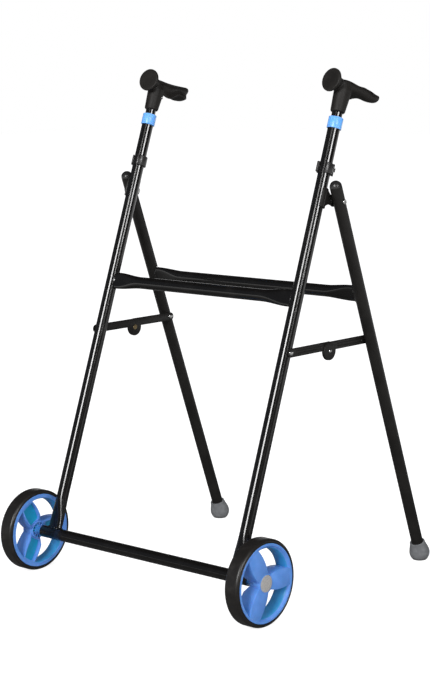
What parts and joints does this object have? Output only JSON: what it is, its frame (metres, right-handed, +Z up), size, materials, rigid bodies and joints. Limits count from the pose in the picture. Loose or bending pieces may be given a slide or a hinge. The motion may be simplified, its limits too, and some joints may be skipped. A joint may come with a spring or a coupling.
{
  "type": "folding wheeled walking frame",
  "caption": "Folding walking frame: black tube front with small blue wheels, hinged rear legs on rubber feet, jointed side braces and height-adjustable anatomical handles.",
  "frame": {"origin": "the middle of the footprint, on the floor that the wheels and the rubber feet stand on", "axes": "+Z up; -Y is the way the walker faces and rolls, so the user stands at +Y; +X is the user's left-hand side as the walker is named here, the side with the nodes called left"},
  "size_m": [0.584, 0.5938, 0.9293],
  "materials": {
    "gloss_black": "gloss black powder coat",
    "satin_black": "satin black powder coat",
    "blue_rim": "moulded mid-blue plastic, soft sheen",
    "blue_collar": "moulded sky-blue plastic, soft sheen",
    "black_rubber": "solid black rubber tyre, satin",
    "grip_rubber": "warm black soft rubber, matt",
    "grey_rubber": "grey rubber, matt",
    "grey_cap": "light grey plastic",
    "black_plastic": "black plastic, satin",
    "zinc": "bright zinc plate",
    "steel": "machined steel",
    "dull_brass": "yellow passivated, dull",
    "bush_nylon": "blue nylon"
  },
  "bodies": {
    "front_frame": {"axle_tube": "gloss_black", "front_crossbar": "gloss_black", "front_tube_left": "gloss_black", "front_tube_right": "gloss_black", "hinge_bracket_left": "satin_black", "hinge_bracket_right": "satin_black", "collar_left": "blue_collar", "collar_right": "blue_collar", "height_clip_left": "black_plastic", "height_clip_right": "black_plastic", "brace_front_rivet_left": "zinc", "brace_front_rivet_right": "zinc", "axle_plug_left": "steel", "axle_plug_right": "steel", "axle_bolt_left": "steel", "axle_bolt_right": "steel"},
    "rear_frame": {"rear_crossbar": "gloss_black", "rear_leg_left": "satin_black", "rear_leg_right": "satin_black", "leg_cap_left": "black_plastic", "leg_cap_right": "black_plastic", "ferrule_left": "grey_rubber", "ferrule_right": "grey_rubber", "brace_rear_rivet_left": "zinc", "brace_rear_rivet_right": "zinc", "hinge_bolt_left": "zinc", "hinge_bolt_right": "zinc", "hinge_washer_left": "zinc", "hinge_washer_right": "zinc", "hinge_nut_left": "zinc", "hinge_nut_right": "zinc"},
    "brace_front_left": {"brace_front_link_left": "satin_black", "brace_mid_tail_left": "dull_brass"},
    "brace_rear_left": {"brace_rear_link_left": "satin_black", "brace_mid_rivet_left": "zinc"},
    "wheel_left": {"tyre_left": "black_rubber", "rim_left": "blue_rim", "hub_cap_left": "grey_cap", "wheel_bush_left": "bush_nylon"},
    "handle_left": {"handle_tube_left": "gloss_black", "grip_left": "grip_rubber", "grip_screw_left": "zinc"},
    "lock_left": {"lock_button_left": "black_plastic"},
    "brace_front_right": {"brace_front_link_right": "satin_black", "brace_mid_tail_right": "dull_brass"},
    "brace_rear_right": {"brace_rear_link_right": "satin_black", "brace_mid_rivet_right": "zinc"},
    "wheel_right": {"tyre_right": "black_rubber", "rim_right": "blue_rim", "hub_cap_right": "grey_cap", "wheel_bush_right": "bush_nylon"},
    "handle_right": {"handle_tube_right": "gloss_black", "grip_right": "grip_rubber", "grip_screw_right": "zinc"},
    "lock_right": {"lock_button_right": "black_plastic"}
  },
  "joints": [
    {"name": "fold", "type": "hinge", "parent": "front_frame", "child": "rear_frame", "pos_m": [0, 0.03363, 0.69781], "axis": [-1, 0, 0], "range_deg": [0, 34]},
    {"name": "brace_front_fold_left", "type": "hinge", "parent": "front_frame", "child": "brace_front_left", "pos_m": [0.23755, -0.08453, 0.44468], "axis": [1, 0, 0], "range_deg": [0, 71]},
    {"name": "brace_rear_fold_left", "type": "hinge", "parent": "rear_frame", "child": "brace_rear_left", "pos_m": [0.24035, 0.1248, 0.4425], "axis": [-1, 0, 0], "range_deg": [0, 57]},
    {"name": "wheel_spin_left", "type": "hinge", "parent": "front_frame", "child": "wheel_left", "pos_m": [0.277, -0.2209, 0.076], "axis": [1, 0, 0], "continuous": true},
    {"name": "handle_height_left", "type": "slide", "parent": "front_frame", "child": "handle_left", "axis": [0, 0.3469, 0.9379], "range_m": [0, 0.125]},
    {"name": "lock_press_left", "type": "slide", "parent": "front_frame", "child": "lock_left", "axis": [0.788, 0.5774, -0.2136], "range_m": [0, 0.004], "stiffness_N_per_m": 300},
    {"name": "brace_front_fold_right", "type": "hinge", "parent": "front_frame", "child": "brace_front_right", "pos_m": [-0.23755, -0.08453, 0.44468], "axis": [1, 0, 0], "range_deg": [0, 71]},
    {"name": "brace_rear_fold_right", "type": "hinge", "parent": "rear_frame", "child": "brace_rear_right", "pos_m": [-0.24035, 0.1248, 0.4425], "axis": [-1, 0, 0], "range_deg": [0, 57]},
    {"name": "wheel_spin_right", "type": "hinge", "parent": "front_frame", "child": "wheel_right", "pos_m": [-0.277, -0.2209, 0.076], "axis": [1, 0, 0], "continuous": true},
    {"name": "handle_height_right", "type": "slide", "parent": "front_frame", "child": "handle_right", "axis": [0, 0.3469, 0.9379], "range_m": [0, 0.125]},
    {"name": "lock_press_right", "type": "slide", "parent": "front_frame", "child": "lock_right", "axis": [-0.788, 0.5774, -0.2136], "range_m": [0, 0.004], "stiffness_N_per_m": 300}
  ],
  "couplings": [
    {"joint": "brace_front_fold_left", "follows": "fold", "ratio": 2.0744},
    {"joint": "brace_rear_fold_left", "follows": "fold", "ratio": 1.6612},
    {"joint": "brace_front_fold_right", "follows": "fold", "ratio": 2.0744},
    {"joint": "brace_rear_fold_right", "follows": "fold", "ratio": 1.6612}
  ]
}
